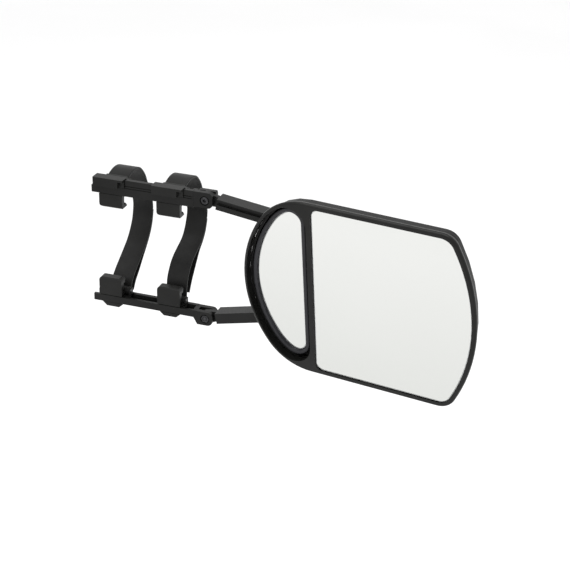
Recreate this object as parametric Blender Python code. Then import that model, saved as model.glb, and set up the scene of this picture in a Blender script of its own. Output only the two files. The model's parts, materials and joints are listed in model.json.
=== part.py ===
"""Clip-on towing mirror: two clamp rails with sliding hooks and rubber straps, two arms, and a
two-pane mirror head on a ball stud. Metres, +Z up. The glass faces -Y and the rails run along X.
The origin is on the back face of the upper rail's rear wall, midway between its two hooks."""

import math

import bmesh
import bpy
from mathutils import Matrix

GAP = 0.0004
ROUND = 20

# Clamp rails. Each is drawn about its own arm pivot: X along the rail, Y from its front face.
RAIL_SPACING = 0.139
RAIL_DEPTH = 0.0175
FRONT_WALL = 0.0045
REAR_WALL = 0.0035
WEB_THICKNESS = 0.0022
UPPER_RAIL = {"end": -0.1295, "top": 0.0094, "bottom": -0.0090, "web": 0.0006, "rear": -0.0084}
LOWER_RAIL = {"end": -0.1315, "top": 0.0045, "bottom": -0.0084, "web": -0.0003, "rear": -0.0082}
GROOVE_DEPTH = 0.0008
GROOVE_HEIGHT = 0.0009
GROOVE_TOPS = (0.00325, 0.0008)
STUB_START = -0.126
STUB_TOP = -0.001
SLOT_LOW = (-0.124, 0.0076)
SLOT_HIGH = (-0.016, 0.0110)

KNUCKLE_START = -0.0145
KNUCKLE_END = 0.0088
KNUCKLE_TOP = 0.0092
KNUCKLE_BOTTOM = -0.0082
KNUCKLE_CORNER = 0.005
REAR_EAR_TOP = 0.0070
LOWER_KNUCKLE_TOP = 0.0076
LOWER_KNUCKLE_CORNER = 0.006
LOWER_KNUCKLE_SLOPE = ((-0.0089, 0.0076), (-0.0135, -0.0003))
EAR = 0.0055
CLEVIS_START = -0.0092

# Pivot screws and nuts
SHANK_RADIUS = 0.0023
SCREW_HOLE = 0.0026
HEAD_RADIUS = 0.0042
HEAD_HEIGHT = 0.0027
HEAD_RECESS_RADIUS = 0.0052
HEAD_RECESS = 0.0033
SOCKET_RADIUS = 0.0019
SOCKET_DEPTH = 0.0018
NUT_RADIUS = 0.0046
NUT_HEIGHT = 0.0028

# Arms
ARM_LENGTH = 0.150
ARM_HEIGHT = 0.012
ARM_SHOULDER = 0.0132
ARM_CHANNEL_DEPTH = 0.0035
ARM_CHANNEL_TOP = 0.005
ARM_CHANNEL_BOTTOM = -0.0005
TONGUE_RADIUS = 0.0075
TONGUE_GAP = 0.0003
UPPER_ARM_SLOPE = math.radians(8.2)
LOWER_ARM_SLOPE = math.radians(12.6)
FREE_PIVOT_CLEARANCE = 0.0020

# Hooks. Each is drawn about its strap's centre in X and its rail's pivot in Y and Z
HOOK_X = (-0.1054, -0.0395)
SLIDER_SHIFT = (-0.0055, -0.0041)
UPPER_JAW_SHIFT = (-0.0022, -0.0017)
LOWER_BASE_SHIFT = (-0.0037, -0.0016)
LOWER_JAW_SHIFT = (-0.0058, -0.0028)
SLIDER_WIDTH = 0.0288
SLIDER_FRONT = -0.0055
SLIDER_BACK = 0.0172
SLIDER_BOTTOM = 0.0008
SLIDER_TOP = 0.0106
ROOF_BACK = 0.0062
POCKET_WIDTH = 0.0058
POCKET_TOP = 0.0080
POCKET_FLOOR = -0.0016
CHEEK_TOP = 0.0100
CHEEK_END = 0.0048
CHEEK = 0.0020
CHEEK_FRONT = 0.0065
NECK_HALF_WIDTH = 0.008
NECK_FRONT = 0.0080
NECK_BACK = 0.0106
NECK_END = -0.0060
STRAP_PIN_RADIUS = 0.0018
UPPER_PIN = (0.0120, 0.0046)
LOWER_PIN = (0.0120, 0.0128)
PIN_LENGTH = 0.0282
JAW_WIDTH = 0.0268
JAW_PLATE = 0.0058
JAW_CORNER = 0.004
UPPER_JAW_START = -0.0094
UPPER_JAW_END = -0.0247
LOWER_JAW_START = 0.0089
LOWER_JAW_END = 0.0300
FOOT_FRONT = 0.0049
FOOT_BACK = 0.0135
FOOT_TOP = -0.0021
SHELF = 0.0030
LIP = ((0.0058, 0.0030), (0.0075, 0.0030), (0.0090, 0.0046), (0.0126, 0.0008), (0.0118, 0.0))
LOWER_LIP = ((0.0058, 0.0064), (0.0072, 0.0060), (0.0084, 0.0078), (0.0110, 0.0022), (0.0096, 0.0))
BASE_TOP_HALF = 0.0123
BASE_BOTTOM_HALF = 0.0073
BASE_HEIGHT = 0.0046
LOWER_CHEEK_FRONT = 0.0076
LOWER_CHEEK_BACK = 0.0150
LOWER_CHEEK_TOP = 0.0156

# Straps: width, thickness and the routes between the two pins, as (Y, Z) about the upper rail's pivot
STRAP_WIDTH = 0.024
STRAP_THICKNESS = 0.0026
STRAP_TOP = (
    (0.0164, 0.0052),
    (0.0200, 0.0068),
    (0.0290, 0.0087),
    (0.0380, 0.0084),
    (0.0470, 0.0056),
    (0.0545, -0.0006),
    (0.0605, -0.0080),
    (0.0650, -0.0170),
    (0.0725, -0.0310),
    (0.0785, -0.0470),
)
STRAP_1_BOTTOM = (
    (0.0783, -0.0580),
    (0.0748, -0.0695),
    (0.0688, -0.0790),
    (0.0605, -0.0880),
    (0.0500, -0.0955),
    (0.0385, -0.1030),
    (0.0270, -0.1105),
    (0.0185, -0.1185),
    (0.0166, -0.1258),
)
STRAP_2_BOTTOM = (
    (0.0755, -0.0585),
    (0.0700, -0.0685),
    (0.0615, -0.0770),
    (0.0470, -0.0830),
    (0.0335, -0.0895),
    (0.0250, -0.0980),
    (0.0190, -0.1080),
    (0.0166, -0.1258),
)
STRAP_STEPS = 2

# Mirror head, drawn about the centre of its front face: X right, Y backwards, Z up
HALF_WIDTH = 0.1263
HALF_HEIGHT = 0.1016
LEFT_RADIUS = 0.1324
LEFT_CORNER = 0.060
RIGHT_RADIUS = 0.205
RIGHT_CORNER = 0.020
LEAST_CORNER = 0.003
HEAD_YAW = math.radians(8.3)
HEAD_TILT = math.radians(8.2)
BALL_CENTRE = (0.1876, -0.0274, 0.0151)
BALL_DEPTH = 0.030
BEZEL_DEPTH = 0.009
BEZEL_EDGE = (
    (0.0, 0.0022),
    (0.0004, 0.0010),
    (0.0014, 0.00025),
    (0.003, 0.0),
    (0.005, 0.0005),
    (0.009, 0.003),
)
BEZEL_RIM = 0.005
WELL_RIM = 0.0034
LIP_DEPTH = 0.0016
GLASS_LAP = 0.0010
GLASS_THICKNESS = 0.003
BACKING_THICKNESS = 0.002
DIVIDER_X = -0.0503
DIVIDER_WIDTH = 0.0055
MAIN_LEFT_CORNER = 0.008
WELL_CORNER = 0.020
SHELL = ((0.0, 0.0032), (0.008, 0.0042), (0.015, 0.0105), (0.0195, 0.0195), (0.0225, 0.036))
SHELL_WALL = 0.0025

# Head ball joint
BALL_RADIUS = 0.009
SEAT_THICKNESS = 0.002
BALL_GAP = 0.0003
BALL_NECK = 0.0045
BALL_FLANGE = 0.008
BALL_SHANK = 0.004
SOCKET_BOSS = 0.021
SOCKET_OPENING = math.radians(68)
CAP_THICKNESS = 0.004
CAP_SCREW_CIRCLE = 0.0165
CAP_SCREW_SHANK = 0.0012
CAP_SCREW_HEAD = 0.0024

# Blind-spot mirror and its small ball joint, drawn in the head's frame
CARRIER_X = -0.0865
CARRIER_MARGIN = 0.0042
CARRIER_FRONT = 0.007
CARRIER_BACK = 0.0131
CARRIER_RIM = 0.0042
SPOT_GLASS_FRONT = 0.0099
SPOT_GLASS_THICKNESS = 0.002
SPOT_BALL_RADIUS = 0.0046
SPOT_BALL_DEPTH = 0.0195
SPOT_SEAT_THICKNESS = 0.0012
SPOT_CUP_RADIUS = 0.0088
SPOT_CUP_END = 0.0212
SPOT_POST_RADIUS = 0.0022

# Head bracket
BRACKET_EYE = 0.0105
BRACKET_HUB = 0.019

MOUNT_Z = (UPPER_RAIL["web"] + UPPER_RAIL["rear"]) / 2
UPPER_PIVOT = (-sum(HOOK_X) / 2, -RAIL_DEPTH, -MOUNT_Z)
LOWER_PIVOT = (UPPER_PIVOT[0], UPPER_PIVOT[1], UPPER_PIVOT[2] - RAIL_SPACING)


def clear_scene():
    for item in list(bpy.data.objects):
        bpy.data.objects.remove(item, do_unlink=True)


def material(name, colour, roughness, metallic=0.0):
    made = bpy.data.materials.new(name)
    made.use_nodes = True
    shader = made.node_tree.nodes["Principled BSDF"]
    shader.inputs["Base Color"].default_value = (*colour, 1.0)
    shader.inputs["Roughness"].default_value = roughness
    shader.inputs["Metallic"].default_value = metallic
    return made


def empty(name, location, parent=None, rotation=None):
    made = bpy.data.objects.new(name, None)
    bpy.context.scene.collection.objects.link(made)
    made.parent = parent
    made.location = location
    if rotation is not None:
        made.rotation_euler = rotation.to_euler()
    return made


def finish_mesh(name, mesh, parent=None, finish=None):
    """Links a bmesh as an object, with its faces turned outwards."""
    bmesh.ops.recalc_face_normals(mesh, faces=mesh.faces)
    data = bpy.data.meshes.new(name)
    mesh.to_mesh(data)
    mesh.free()
    made = bpy.data.objects.new(name, data)
    bpy.context.scene.collection.objects.link(made)
    made.parent = parent
    if finish is not None:
        data.materials.append(finish)
    return made


def prism(name, outline, axis, low, high, parent=None, finish=None):
    """A 2D outline pushed along an axis. The outline is (Y, Z) for X, (X, Z) for Y and (X, Y) for Z."""
    mesh = bmesh.new()
    place = {
        "X": lambda a, b: (low, a, b),
        "Y": lambda a, b: (a, low, b),
        "Z": lambda a, b: (a, b, low),
    }[axis]
    push = {"X": (1, 0, 0), "Y": (0, 1, 0), "Z": (0, 0, 1)}[axis]
    face = mesh.faces.new([mesh.verts.new(place(a, b)) for a, b in outline])
    moved = bmesh.ops.extrude_face_region(mesh, geom=[face])
    corners = [item for item in moved["geom"] if isinstance(item, bmesh.types.BMVert)]
    bmesh.ops.translate(mesh, verts=corners, vec=[step * (high - low) for step in push])
    return finish_mesh(name, mesh, parent, finish)


def block(name, low, high, parent=None, finish=None):
    outline = ((low[0], low[2]), (high[0], low[2]), (high[0], high[2]), (low[0], high[2]))
    return prism(name, outline, "Y", low[1], high[1], parent, finish)


def turned(name, profile, parent=None, finish=None, centre=(0.0, 0.0), segments=ROUND):
    """A (radius, Y) profile turned about a line along Y through centre (X, Z). Radius 0 closes an end."""
    mesh = bmesh.new()
    rings = []
    for radius, along in profile:
        if radius == 0.0:
            rings.append([mesh.verts.new((centre[0], along, centre[1]))])
            continue
        ring = []
        for step in range(segments):
            angle = 2 * math.pi * step / segments
            ring.append(
                mesh.verts.new(
                    (centre[0] + radius * math.cos(angle), along, centre[1] + radius * math.sin(angle))
                )
            )
        rings.append(ring)
    closed = len(rings[0]) > 1
    pairs = list(zip(rings, rings[1:]))
    if closed:
        pairs.append((rings[-1], rings[0]))
    for first, second in pairs:
        for step in range(segments):
            after = (step + 1) % segments
            corners = [first[step % len(first)], first[after % len(first)]]
            corners += [second[after % len(second)], second[step % len(second)]]
            kept = list(dict.fromkeys(corners))
            mesh.faces.new(kept)
    made = finish_mesh(name, mesh, parent, finish)
    made.data.shade_smooth()
    made.data.set_sharp_from_angle(angle=math.radians(35))
    return made


def join(target, *others):
    """Unites other closed shapes with the target. The helpers stay hidden."""
    for other in others:
        combine(target, other, "UNION")


def cut(target, *others):
    for other in others:
        combine(target, other, "DIFFERENCE")


def combine(target, other, operation):
    other.parent = target.parent
    other.hide_render = True
    other.display_type = "WIRE"
    step = target.modifiers.new(operation.lower() + "_" + other.name, "BOOLEAN")
    step.operation = operation
    step.solver = "EXACT"
    step.object = other


def arc(centre, radius, start, end, steps):
    """Points along an arc, ends included. Angles are in radians."""
    points = []
    for step in range(steps + 1):
        angle = start + (end - start) * step / steps
        points.append((centre[0] + radius * math.cos(angle), centre[1] + radius * math.sin(angle)))
    return points


def merged(points):
    """Drops each point that repeats the one before it."""
    kept = []
    for point in points:
        if not kept or math.dist(point, kept[-1]) > 1e-6:
            kept.append(point)
    if math.dist(kept[0], kept[-1]) < 1e-6:
        kept.pop()
    return kept


def hexagon(radius, centre=(0.0, 0.0)):
    return arc(centre, radius, 0, math.radians(300), 5)


def between(p, q, r, s, t):
    """Catmull-Rom between q and r."""
    square = 2 * p - 5 * q + 4 * r - s
    cube = 3 * q - p - 3 * r + s
    return 0.5 * (2 * q + (r - p) * t + square * t**2 + cube * t**3)


def route(points, steps):
    """A smooth route through the points, by Catmull-Rom."""
    padded = [points[0], *points, points[-1]]
    smooth = []
    for a, b, c, d in zip(padded, padded[1:], padded[2:], padded[3:]):
        for step in range(steps):
            t = step / steps
            smooth.append(tuple(between(*ends, t) for ends in zip(a, b, c, d)))
    return [*smooth, points[-1]]


# ---------------------------------------------------------------- head outlines


def right_side(inset, steps):
    """The head's right end from its lower corner round to its upper corner."""
    corner = max(RIGHT_CORNER - inset, LEAST_CORNER)
    radius = RIGHT_RADIUS - inset
    centre = HALF_WIDTH - RIGHT_RADIUS
    corner_z = HALF_HEIGHT - inset - corner
    corner_x = centre + math.sqrt((radius - corner) ** 2 - corner_z**2)
    turn = math.asin(corner_z / (radius - corner))
    points = arc((corner_x, -corner_z), corner, -math.pi / 2, -turn, steps)
    points += arc((centre, 0), radius, -turn, turn, 2 * steps)
    points += arc((corner_x, corner_z), corner, turn, math.pi / 2, steps)
    return points


def left_centres():
    """The left arc's centre, its corner's centre and the angle at which they meet."""
    centre = LEFT_RADIUS - HALF_WIDTH
    corner_z = HALF_HEIGHT - LEFT_CORNER
    reach = LEFT_RADIUS - LEFT_CORNER
    corner_x = centre - math.sqrt(reach**2 - corner_z**2)
    return centre, corner_x, corner_z, math.asin(corner_z / reach)


def head_outline(inset=0.0, steps=4):
    centre, corner_x, corner_z, turn = left_centres()
    points = right_side(inset, steps)
    points += arc((corner_x, corner_z), LEFT_CORNER - inset, math.pi / 2, math.pi - turn, steps)
    points += arc((centre, 0), LEFT_RADIUS - inset, math.pi - turn, math.pi + turn, 2 * steps)
    points += arc((corner_x, -corner_z), LEFT_CORNER - inset, math.pi + turn, 1.5 * math.pi, steps)
    return merged(points)


def main_outline(margin=0.0, steps=4):
    """The main pane's opening, grown by margin."""
    left = DIVIDER_X + DIVIDER_WIDTH / 2 - margin
    height = HALF_HEIGHT - BEZEL_RIM + margin
    corner = MAIN_LEFT_CORNER + margin
    points = right_side(BEZEL_RIM - margin, steps)
    points += arc((left + corner, height - corner), corner, math.pi / 2, math.pi, steps)
    points += arc((left + corner, corner - height), corner, math.pi, 1.5 * math.pi, steps)
    return merged(points)


def well_outline(inset=0.0, steps=4):
    """The D-shaped opening round the blind-spot mirror, shrunk by inset."""
    centre, corner_x, corner_z, turn = left_centres()
    line = DIVIDER_X - DIVIDER_WIDTH / 2 - inset
    corner = WELL_CORNER - inset
    shrink = WELL_RIM + inset
    near_x = line - corner
    near_z = corner_z + math.sqrt((LEFT_CORNER - shrink - corner) ** 2 - (near_x - corner_x) ** 2)
    meet = math.atan2(near_z - corner_z, near_x - corner_x)
    points = arc((near_x, near_z), corner, 0, meet, steps)
    points += arc((corner_x, corner_z), LEFT_CORNER - shrink, meet, math.pi - turn, steps)
    points += arc((centre, 0), LEFT_RADIUS - shrink, math.pi - turn, math.pi + turn, 2 * steps)
    points += arc((corner_x, -corner_z), LEFT_CORNER - shrink, math.pi + turn, 2 * math.pi - meet, steps)
    points += arc((near_x, -near_z), corner, 2 * math.pi - meet, 2 * math.pi, steps)
    return merged(points)


def dome(name, rings, parent=None, finish=None):
    """A solid through rings of the head's outline, each (depth, inset), capped at both ends."""
    mesh = bmesh.new()
    loops = []
    for depth, inset in rings:
        loops.append([mesh.verts.new((x, depth, z)) for x, z in head_outline(inset)])
    mesh.faces.new(loops[0])
    mesh.faces.new(loops[-1])
    count = len(loops[0])
    for first, second in zip(loops, loops[1:]):
        for step in range(count):
            after = (step + 1) % count
            mesh.faces.new((first[step], first[after], second[after], second[step]))
    return finish_mesh(name, mesh, parent, finish)


# ---------------------------------------------------------------- pieces


def screw(name, parent, finish, centre, start, direction, length, sizes):
    """A socket-head screw whose head starts at Y start and whose shank runs along direction (+1 or -1)."""
    head_radius, head_height, shank, socket, socket_depth = sizes
    profile = [
        (0.0, socket_depth),
        (socket, socket_depth),
        (socket, 0.0),
        (head_radius, 0.0),
        (head_radius, head_height),
        (shank, head_height),
        (shank, length),
        (0.0, length),
    ]
    along = [(radius, start + direction * distance) for radius, distance in profile]
    return turned(name, along, parent, finish, centre, 16)


def pivot_fasteners(stem, parent, finish, centre=(0.0, 0.0), flipped=False):
    """The socket screw and hex nut through one clevis, drawn between Y 0 and RAIL_DEPTH."""
    sizes = (HEAD_RADIUS, HEAD_HEIGHT, SHANK_RADIUS, SOCKET_RADIUS, SOCKET_DEPTH)
    start = RAIL_DEPTH - GAP if flipped else GAP
    direction = -1 if flipped else 1
    screw(stem + "_screw", parent, finish, centre, start, direction, RAIL_DEPTH - 2 * GAP, sizes)
    near = GAP if flipped else RAIL_DEPTH - GAP - NUT_HEIGHT
    nut = prism(stem + "_nut", hexagon(NUT_RADIUS, centre), "Y", near, near + NUT_HEIGHT, parent, finish)
    bore = turned(stem + "_nut_bore", rod(SCREW_HOLE, -1, 1), centre=centre, segments=16)
    cut(nut, bore)


def rod(radius, start, end):
    """A solid round bar's profile for turned()."""
    return [(0.0, start), (radius, start), (radius, end), (0.0, end)]


def clevis_cutters(stem, centre, slot_start, slot_end, slot_reach):
    """The slot, through hole and two counterbores of a clevis between Y 0 and RAIL_DEPTH."""
    x, z = centre
    slot = block(
        stem + "_slot",
        (x + slot_start, EAR, z - slot_reach),
        (x + slot_end, RAIL_DEPTH - EAR, z + slot_reach),
    )
    hole = turned(stem + "_hole", rod(SCREW_HOLE, -0.01, 0.03), centre=centre, segments=16)
    front = turned(stem + "_front", rod(HEAD_RECESS_RADIUS, -0.01, HEAD_RECESS), centre=centre)
    back = turned(stem + "_back", rod(HEAD_RECESS_RADIUS, RAIL_DEPTH - HEAD_RECESS, 0.03), centre=centre)
    return slot, hole, front, back


def rail(name, sizes, knuckle, parent, finish):
    """One clamp rail: an h-shaped extrusion with a long slot in its web and a clevis at the arm end."""
    top, bottom = GROOVE_TOPS
    web_bottom = sizes["web"] - WEB_THICKNESS
    section = [
        (0.0, sizes["top"]),
        (0.0, top),
        (GROOVE_DEPTH, top),
        (GROOVE_DEPTH, top - GROOVE_HEIGHT),
        (0.0, top - GROOVE_HEIGHT),
        (0.0, bottom),
        (GROOVE_DEPTH, bottom),
        (GROOVE_DEPTH, bottom - GROOVE_HEIGHT),
        (0.0, bottom - GROOVE_HEIGHT),
        (0.0, sizes["bottom"]),
        (FRONT_WALL, sizes["bottom"]),
        (FRONT_WALL, web_bottom),
        (RAIL_DEPTH - REAR_WALL, web_bottom),
        (RAIL_DEPTH - REAR_WALL, sizes["rear"]),
        (RAIL_DEPTH, sizes["rear"]),
        (RAIL_DEPTH, sizes["web"]),
        (FRONT_WALL, sizes["web"]),
        (FRONT_WALL, sizes["top"]),
    ]
    made = prism(name, section, "X", sizes["end"], KNUCKLE_START + 0.002, parent, finish)
    join(made, prism(name + "_knuckle", knuckle, "Y", 0.0002, RAIL_DEPTH - 0.0002))
    low = (SLOT_LOW[0], SLOT_LOW[1], sizes["web"] - 0.01)
    high = (SLOT_HIGH[0], SLOT_HIGH[1], sizes["web"] + 0.01)
    cut(made, block(name + "_web_slot", low, high))
    cut(made, *clevis_cutters(name, (0.0, 0.0), CLEVIS_START, 0.02, 0.02))
    return made


def upper_knuckle():
    corner = KNUCKLE_CORNER
    quarter = math.pi / 2
    points = [(KNUCKLE_START, KNUCKLE_TOP), (KNUCKLE_START, KNUCKLE_BOTTOM)]
    points += arc((KNUCKLE_END - corner, KNUCKLE_BOTTOM + corner), corner, -quarter, 0, 4)
    points += arc((KNUCKLE_END - corner, KNUCKLE_TOP - corner), corner, 0, quarter, 4)
    return points


def lower_knuckle():
    """The lower rail's clevis in the turned-over frame, with a slope under the arm's side."""
    corner = KNUCKLE_CORNER
    wide = LOWER_KNUCKLE_CORNER
    quarter = math.pi / 2
    points = [(KNUCKLE_START, LOWER_RAIL["web"]), (KNUCKLE_START, KNUCKLE_BOTTOM)]
    points += arc((KNUCKLE_END - corner, KNUCKLE_BOTTOM + corner), corner, -quarter, 0, 4)
    points += arc((KNUCKLE_END - wide, LOWER_KNUCKLE_TOP - wide), wide, 0, quarter, 4)
    return [*points, *LOWER_KNUCKLE_SLOPE]


def trim_upper_rail(made):
    """The notch that clears the upper arm, the low rear ear and the cut-away wall at the free end."""
    wedge = ((-0.0200, 0.0011), (-0.0145, 0.0011), (-0.0078, 0.0120), (-0.0200, 0.0120))
    cut(made, prism("upper_rail_wedge", wedge, "Y", FRONT_WALL + 0.004, 0.030))
    cut(made, block("upper_rail_ear_trim", (-0.02, FRONT_WALL + 0.004, REAR_EAR_TOP), (0.02, 0.03, 0.02)))
    cut(made, block("upper_rail_stub", (-0.14, -0.01, STUB_TOP), (STUB_START, FRONT_WALL + 0.0001, 0.02)))


def arm(name, parent, finish, far_hole):
    """One arm between its two pivots, a bar with a channel in its front and a flat tongue at each end."""
    half = ARM_HEIGHT / 2
    section = [
        (0.0, half),
        (0.0, ARM_CHANNEL_TOP),
        (ARM_CHANNEL_DEPTH, ARM_CHANNEL_TOP),
        (ARM_CHANNEL_DEPTH, ARM_CHANNEL_BOTTOM),
        (0.0, ARM_CHANNEL_BOTTOM),
        (0.0, -half),
        (RAIL_DEPTH, -half),
        (RAIL_DEPTH, half),
    ]
    made = prism(name, section, "X", ARM_SHOULDER, ARM_LENGTH - ARM_SHOULDER, parent, finish)
    low, high = EAR + TONGUE_GAP, RAIL_DEPTH - EAR - TONGUE_GAP
    quarter = math.pi / 2
    near = arc((0, 0), TONGUE_RADIUS, quarter, 3 * quarter, 8)
    near += [(ARM_SHOULDER + 0.004, -half + 0.0012), (ARM_SHOULDER + 0.004, half - 0.0012)]
    far = [(ARM_LENGTH - x, z) for x, z in near]
    join(made, prism(name + "_near_tongue", near, "Y", low, high))
    join(made, prism(name + "_far_tongue", far, "Y", low, high))
    cut(made, turned(name + "_near_hole", rod(SCREW_HOLE, -0.01, 0.03), segments=16))
    cut(made, turned(name + "_far_hole", rod(far_hole, -0.01, 0.03), centre=(ARM_LENGTH, 0), segments=16))
    return made


def upper_slider(name, shift, parent, finish):
    """The saddle over the upper rail's front wall: a block in front, a plate that runs on over a pocket,
    two cheeks that carry the strap pin, and a neck that goes down through the rail's web."""
    web = UPPER_RAIL["web"] + GAP
    roof = UPPER_RAIL["top"] + GAP
    section = [
        (SLIDER_FRONT, SLIDER_BOTTOM),
        (SLIDER_FRONT, SLIDER_TOP),
        (ROOF_BACK, SLIDER_TOP),
        (ROOF_BACK, CHEEK_TOP),
        (SLIDER_BACK, CHEEK_END),
        (SLIDER_BACK, web),
        (FRONT_WALL + GAP, web),
        (FRONT_WALL + GAP, roof),
        (-GAP, roof),
        (-GAP, SLIDER_BOTTOM),
    ]
    low = shift - SLIDER_WIDTH / 2
    edge = low + SLIDER_WIDTH
    made = prism(name, section, "X", low, edge + POCKET_WIDTH, parent, finish)
    cut(made, block(name + "_front_pocket", (edge, -0.02, -0.01), (edge + 0.02, POCKET_FLOOR, POCKET_TOP)))
    reach = STRAP_WIDTH / 2 + GAP
    cut(made, block(name + "_strap_pocket", (-reach, CHEEK_FRONT, web - 0.001), (reach, 0.03, 0.03)))
    low = (-NECK_HALF_WIDTH, FRONT_WALL + GAP + 0.0005, web + 0.0002)
    join(made, block(name + "_neck_root", low, (NECK_HALF_WIDTH, NECK_BACK, web + 0.0014)))
    join(made, block(name + "_neck", *neck_corners(NECK_END, web + 0.0010)))
    cut(made, pin_bore(name, UPPER_PIN))
    return made


def neck_corners(low, high, margin=0.0):
    """The block of a slider's neck, grown by margin, where it passes through a rail's web."""
    reach = NECK_HALF_WIDTH + margin
    return (-reach, NECK_FRONT - margin, low - margin), (reach, NECK_BACK + margin, high)


def pin_bore(name, centre):
    outline = arc(centre, STRAP_PIN_RADIUS + 0.0003, 0, 2 * math.pi * 15 / 16, 15)
    return prism(name + "_pin_bore", outline, "X", -0.03, 0.03)


def strap_pin(name, centre, parent, finish):
    outline = arc(centre, STRAP_PIN_RADIUS, 0, 2 * math.pi * 11 / 12, 11)
    return prism(name, outline, "X", -PIN_LENGTH / 2, PIN_LENGTH / 2, parent, finish)


def corner_cutter(name, x, end, side, upward):
    """Rounds one corner of a jaw plate. side is +1 for the corner at higher X."""
    sign = 1 if upward else -1
    centre = (x - side * JAW_CORNER, end - sign * JAW_CORNER)
    across = 0 if side > 0 else math.pi
    points = arc(centre, JAW_CORNER, across, sign * math.pi / 2, 5)
    if side < 0:
        points = arc(centre, JAW_CORNER, math.pi, math.pi - sign * math.pi / 2, 5)
    outline = [*points, (centre[0], end + sign * 0.01), (x + side * 0.01, end + sign * 0.01)]
    outline.append((x + side * 0.01, centre[1]))
    return prism(name, outline, "Y", -0.01, 0.02)


def upper_jaw(name, shift, parent, finish):
    """A clamp jaw under the upper rail: a foot in the rail's channel that takes the slider's neck, a
    shelf, a plate flush with the rail's front, and a lip with a barb that grips an edge."""
    end = UPPER_JAW_END
    section = [
        (0.0, UPPER_JAW_START),
        (FOOT_FRONT, UPPER_JAW_START),
        (FOOT_FRONT, FOOT_TOP),
        (FOOT_BACK, FOOT_TOP),
        (FOOT_BACK, UPPER_JAW_START - SHELF),
        (JAW_PLATE, UPPER_JAW_START - SHELF),
        *((y, end + z) for y, z in LIP),
        (0.0012, end),
        (0.0, end + 0.0012),
    ]
    low = shift - JAW_WIDTH / 2
    made = prism(name, section, "X", low, low + JAW_WIDTH, parent, finish)
    cut(made, block(name + "_neck_pocket", *neck_corners(NECK_END, 0.01, GAP)))
    cut(made, corner_cutter(name + "_corner", low, end, -1, False))
    return made


def lower_slider(name, shift, parent, finish):
    """The base under the lower rail, with a neck that goes up through the rail's web."""
    top = -LOWER_RAIL["web"] - GAP
    outline = [
        (shift - BASE_TOP_HALF, top),
        (shift - BASE_BOTTOM_HALF, -BASE_HEIGHT),
        (shift + BASE_BOTTOM_HALF, -BASE_HEIGHT),
        (shift + BASE_TOP_HALF, top),
    ]
    made = prism(name, outline, "Y", 0.0004, RAIL_DEPTH - FRONT_WALL - GAP, parent, finish)
    (low_x, low_y, low_z), (high_x, high_y, high_z) = neck_corners(top - 0.001, -NECK_END)
    low = (low_x, RAIL_DEPTH - high_y, low_z)
    join(made, block(name + "_neck", low, (high_x, RAIL_DEPTH - low_y, high_z)))
    return made


def lower_jaw(name, shift, parent, finish):
    """A clamp jaw above the lower rail: a foot in the rail's channel that takes the slider's neck, two
    cheeks that carry the strap pin, a plate over the rail's front wall, and a lip with a barb."""
    end = LOWER_JAW_END
    foot_bottom = -LOWER_RAIL["web"] + WEB_THICKNESS + GAP
    wall = -LOWER_RAIL["rear"]
    reach = STRAP_WIDTH / 2 + GAP
    foot_front = REAR_WALL + GAP
    foot_back = RAIL_DEPTH - FRONT_WALL - GAP
    plate = [
        (0.0, LOWER_JAW_START),
        (foot_front, LOWER_JAW_START),
        (foot_front, wall - 0.002),
        (JAW_PLATE + 0.0016, wall - 0.002),
        (JAW_PLATE + 0.0016, LOWER_JAW_START + SHELF),
        (JAW_PLATE, LOWER_JAW_START + SHELF),
        *((y, end - z) for y, z in LOWER_LIP),
        (0.0012, end),
        (0.0, end - 0.0012),
    ]
    low = shift - JAW_WIDTH / 2
    made = prism(name, plate, "X", low, low + JAW_WIDTH, parent, finish)
    outer = reach + CHEEK
    foot_low = (-outer, foot_front + 0.0002, foot_bottom)
    join(made, block(name + "_foot", foot_low, (outer, foot_back, wall - 0.0004)))
    cheek = [
        (LOWER_CHEEK_FRONT, wall - 0.001),
        (LOWER_CHEEK_FRONT, LOWER_CHEEK_TOP),
        (LOWER_CHEEK_BACK, LOWER_CHEEK_TOP),
        (LOWER_CHEEK_BACK, wall + GAP),
        (foot_back - 0.0002, wall + GAP),
        (foot_back - 0.0002, wall - 0.001),
    ]
    join(made, prism(name + "_left_cheek", cheek, "X", -outer + 0.0001, -reach))
    join(made, prism(name + "_right_cheek", cheek, "X", reach, outer - 0.0001))
    (low_x, low_y, low_z), (high_x, high_y, high_z) = neck_corners(0.0, -NECK_END + GAP, GAP)
    corner = (high_x, RAIL_DEPTH - low_y, high_z)
    cut(made, block(name + "_neck_pocket", (low_x, RAIL_DEPTH - high_y, low_z), corner))
    cut(made, corner_cutter(name + "_left_corner", low, end, -1, True))
    cut(made, corner_cutter(name + "_right_corner", low + JAW_WIDTH, end, 1, True))
    cut(made, pin_bore(name, LOWER_PIN))
    return made


def strap(name, points, parent, finish):
    """The rubber strap as a plain closed ribbon along its route."""
    line = route(points, STRAP_STEPS)
    outer, inner = [], []
    for index, (y, z) in enumerate(line):
        before = line[max(index - 1, 0)]
        after = line[min(index + 1, len(line) - 1)]
        length = math.dist(before, after)
        normal = ((after[1] - before[1]) / length, -(after[0] - before[0]) / length)
        half = STRAP_THICKNESS / 2
        outer.append((y - normal[0] * half, z - normal[1] * half))
        inner.append((y + normal[0] * half, z + normal[1] * half))
    outline = outer + inner[::-1]
    return prism(name, outline, "X", -STRAP_WIDTH / 2, STRAP_WIDTH / 2, parent, finish)


def meridian(radius, depth, sweep, steps):
    """A sphere's (radius, Y) profile from its front pole, as far round as sweep."""
    points = [(0.0, depth - radius)]
    for step in range(1, steps + 1):
        angle = sweep * step / steps
        points.append((radius * math.sin(angle), depth - radius * math.cos(angle)))
    return points


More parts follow.
